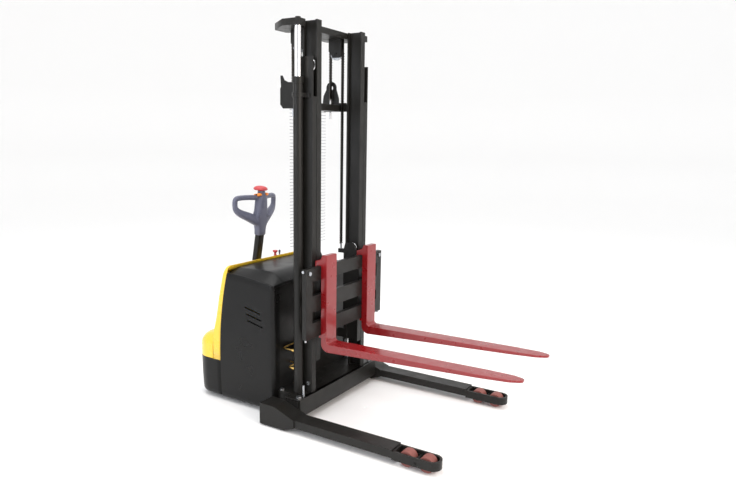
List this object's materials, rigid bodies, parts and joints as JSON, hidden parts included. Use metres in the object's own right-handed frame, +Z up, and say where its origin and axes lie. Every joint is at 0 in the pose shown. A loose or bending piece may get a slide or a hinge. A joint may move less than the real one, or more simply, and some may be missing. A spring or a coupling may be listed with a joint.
{
  "type": "walkie stacker",
  "caption": "Walk-behind electric stacker with adjustable straddle legs, a two-stage chain-lifted mast, hook-on forks and a steering tiller.",
  "frame": {"origin": "on the floor under the middle of the whole machine", "axes": "+X to the fork tips, +Y to the left seen from the tiller, +Z up"},
  "size_m": [2.0904, 1.072, 2.281],
  "materials": {
    "frame_black": "satin powder coat",
    "cover_black": "satin moulded",
    "cowl_yellow": "gloss moulded",
    "fork_red": "gloss paint",
    "chrome": "polished hard chrome",
    "zinc": "zinc plated",
    "brass": "yellow passivated",
    "chain_steel": "oiled",
    "polyurethane": "matt cast",
    "tyre": "matt",
    "handle_grey": "fine texture",
    "throttle_orange": "smooth",
    "button_red": "smooth",
    "battery_case": "moulded",
    "cast_aluminium": "as cast",
    "cast_iron": "painted casting"
  },
  "bodies": {
    "root": {"chassis_frame": "frame_black", "crossbeam": "frame_black", "outer_rails": "frame_black", "outer_crossmember": "frame_black", "mast_brackets": "frame_black", "lift_cylinders": "frame_black", "cylinder_glands": "frame_black", "cylinder_clamps": "frame_black", "mast_guard": "zinc", "side_panel_left": "cover_black", "side_panel_right": "cover_black", "rear_cowl": "cowl_yellow", "drive_cover": "cowl_yellow", "rear_skirt": "cover_black", "top_cover": "cover_black", "batteries": "battery_case", "pump_unit": "cast_iron", "oil_tank": "battery_case", "motor_controller": "cast_aluminium", "hydraulic_pipes": "brass", "frame_bolts": "zinc", "clamp_pins": "zinc", "chain_rear_strands": "chain_steel"},
    "inner_mast": {"inner_rails": "frame_black", "inner_crosshead": "frame_black", "inner_tie": "frame_black", "sheave_brackets": "frame_black", "piston_rods": "chrome"},
    "sheaves": {"chain_sheaves": "zinc"},
    "outer_rollers": {"outer_rail_rollers": "chrome"},
    "inner_rollers": {"inner_rail_rollers": "chrome"},
    "carriage": {"carriage_frame": "frame_black", "roller_plates": "frame_black", "carriage_bolts": "zinc", "chain_front_strands": "chain_steel"},
    "upper_rollers": {"upper_carriage_rollers": "chrome"},
    "lower_rollers": {"lower_carriage_rollers": "chrome"},
    "fork_l": {"fork_left": "fork_red"},
    "fork_r": {"fork_right": "fork_red"},
    "leg_l": {"leg_left": "frame_black"},
    "leg_r": {"leg_right": "frame_black"},
    "bogie_l": {"bogie_left": "frame_black"},
    "bogie_r": {"bogie_right": "frame_black"},
    "wheel_fl": {"load_wheel_front_left": "polyurethane"},
    "wheel_rl": {"load_wheel_rear_left": "polyurethane"},
    "wheel_fr": {"load_wheel_front_right": "polyurethane"},
    "wheel_rr": {"load_wheel_rear_right": "polyurethane"},
    "drive": {"drive_unit": "cast_iron", "tiller_column": "frame_black"},
    "traction_wheel": {"drive_wheel": "tyre"},
    "tiller": {"tiller_arm": "frame_black", "tiller_head": "handle_grey"},
    "throttle_rocker": {"throttle": "throttle_orange"},
    "belly": {"belly_button": "button_red"},
    "caster_l": {"caster_fork_left": "frame_black"},
    "caster_r": {"caster_fork_right": "frame_black"},
    "caster_roll_l": {"caster_wheel_left": "tyre"},
    "caster_roll_r": {"caster_wheel_right": "tyre"},
    "knob": {"disconnect_knob": "button_red"},
    "key_barrel": {"key": "handle_grey"}
  },
  "joints": [
    {"name": "mast_lift", "type": "slide", "parent": "root", "child": "inner_mast", "axis": [0, 0, 1], "range_m": [-0.18, 1.14], "deforming": ["chain_rear_strands"]},
    {"name": "carriage_lift", "type": "slide", "parent": "inner_mast", "child": "carriage", "axis": [0, 0, 1], "range_m": [-0.18, 1.14], "deforming": ["chain_front_strands"]},
    {"name": "sheave_spin", "type": "hinge", "parent": "inner_mast", "child": "sheaves", "pos_m": [-0.3622, 0, 2.152], "axis": [0, 1, 0], "continuous": true},
    {"name": "outer_roller_spin", "type": "hinge", "parent": "root", "child": "outer_rollers", "pos_m": [-0.2452, 0, 2.034], "axis": [0, 1, 0], "continuous": true},
    {"name": "inner_roller_spin", "type": "hinge", "parent": "inner_mast", "child": "inner_rollers", "pos_m": [-0.2452, 0, 0.392], "axis": [0, 1, 0], "continuous": true},
    {"name": "upper_roller_spin", "type": "hinge", "parent": "carriage", "child": "upper_rollers", "pos_m": [-0.2452, 0, 0.945], "axis": [0, 1, 0], "continuous": true},
    {"name": "lower_roller_spin", "type": "hinge", "parent": "carriage", "child": "lower_rollers", "pos_m": [-0.2452, 0, 0.6], "axis": [0, 1, 0], "continuous": true},
    {"name": "fork_spread_left", "type": "slide", "parent": "carriage", "child": "fork_l", "axis": [0, 1, 0], "range_m": [-0.15, 0.09]},
    {"name": "leg_spread_left", "type": "slide", "parent": "root", "child": "leg_l", "axis": [0, 1, 0], "range_m": [0, 0.2]},
    {"name": "bogie_rock_left", "type": "hinge", "parent": "leg_l", "child": "bogie_l", "pos_m": [0.6098, 0.48, 0.042], "axis": [0, 1, 0], "range_deg": [-8, 8]},
    {"name": "load_wheel_front_spin_left", "type": "hinge", "parent": "bogie_l", "child": "wheel_fl", "pos_m": [0.6658, 0.48, 0.042], "axis": [0, 1, 0], "continuous": true},
    {"name": "load_wheel_rear_spin_left", "type": "hinge", "parent": "bogie_l", "child": "wheel_rl", "pos_m": [0.5538, 0.48, 0.042], "axis": [0, 1, 0], "continuous": true},
    {"name": "caster_swivel_left", "type": "hinge", "parent": "root", "child": "caster_l", "pos_m": [-0.8552, 0.285, 0.12], "axis": [0, 0, 1], "continuous": true},
    {"name": "caster_spin_left", "type": "hinge", "parent": "caster_l", "child": "caster_roll_l", "pos_m": [-0.8852, 0.285, 0.05], "axis": [0, 1, 0], "continuous": true},
    {"name": "fork_spread_right", "type": "slide", "parent": "carriage", "child": "fork_r", "axis": [0, -1, 0], "range_m": [-0.15, 0.09]},
    {"name": "leg_spread_right", "type": "slide", "parent": "root", "child": "leg_r", "axis": [0, -1, 0], "range_m": [0, 0.2]},
    {"name": "bogie_rock_right", "type": "hinge", "parent": "leg_r", "child": "bogie_r", "pos_m": [0.6098, -0.48, 0.042], "axis": [0, 1, 0], "range_deg": [-8, 8]},
    {"name": "load_wheel_front_spin_right", "type": "hinge", "parent": "bogie_r", "child": "wheel_fr", "pos_m": [0.6658, -0.48, 0.042], "axis": [0, 1, 0], "continuous": true},
    {"name": "load_wheel_rear_spin_right", "type": "hinge", "parent": "bogie_r", "child": "wheel_rr", "pos_m": [0.5538, -0.48, 0.042], "axis": [0, 1, 0], "continuous": true},
    {"name": "caster_swivel_right", "type": "hinge", "parent": "root", "child": "caster_r", "pos_m": [-0.8552, -0.285, 0.12], "axis": [0, 0, 1], "continuous": true},
    {"name": "caster_spin_right", "type": "hinge", "parent": "caster_r", "child": "caster_roll_r", "pos_m": [-0.8852, -0.285, 0.05], "axis": [0, 1, 0], "continuous": true},
    {"name": "steering", "type": "hinge", "parent": "root", "child": "drive", "pos_m": [-0.9302, 0, 0.33], "axis": [0, 0, 1], "range_deg": [-90, 90]},
    {"name": "drive_wheel_spin", "type": "hinge", "parent": "drive", "child": "traction_wheel", "pos_m": [-0.9302, 0, 0.1], "axis": [0, 1, 0], "continuous": true},
    {"name": "tiller_tilt", "type": "hinge", "parent": "drive", "child": "tiller", "pos_m": [-0.9302, 0, 0.5], "axis": [0, -1, 0], "range_deg": [0, 90], "stiffness_Nm_per_rad": 30},
    {"name": "throttle_twist", "type": "hinge", "parent": "tiller", "child": "throttle_rocker", "pos_m": [-0.82104, 0, 1.26877], "axis": [0, 1, 0], "range_deg": [-30, 30], "stiffness_Nm_per_rad": 0.6},
    {"name": "belly_press", "type": "slide", "parent": "tiller", "child": "belly", "axis": [-0.0523, 0, -0.9986], "range_m": [0, 0.006], "stiffness_N_per_m": 600, "springref_m": -0.004},
    {"name": "knob_pull", "type": "slide", "parent": "root", "child": "knob", "axis": [0, 0, 1], "range_m": [0, 0.015]},
    {"name": "key_turn", "type": "hinge", "parent": "root", "child": "key_barrel", "pos_m": [-0.7562, 0.105, 0.88], "axis": [0, 0, 1], "range_deg": [0, 90]}
  ],
  "couplings": [
    {"joint": "carriage_lift", "follows": "mast_lift", "ratio": 1},
    {"joint": "sheave_spin", "follows": "mast_lift", "rad_per_m": -22.222}
  ]
}
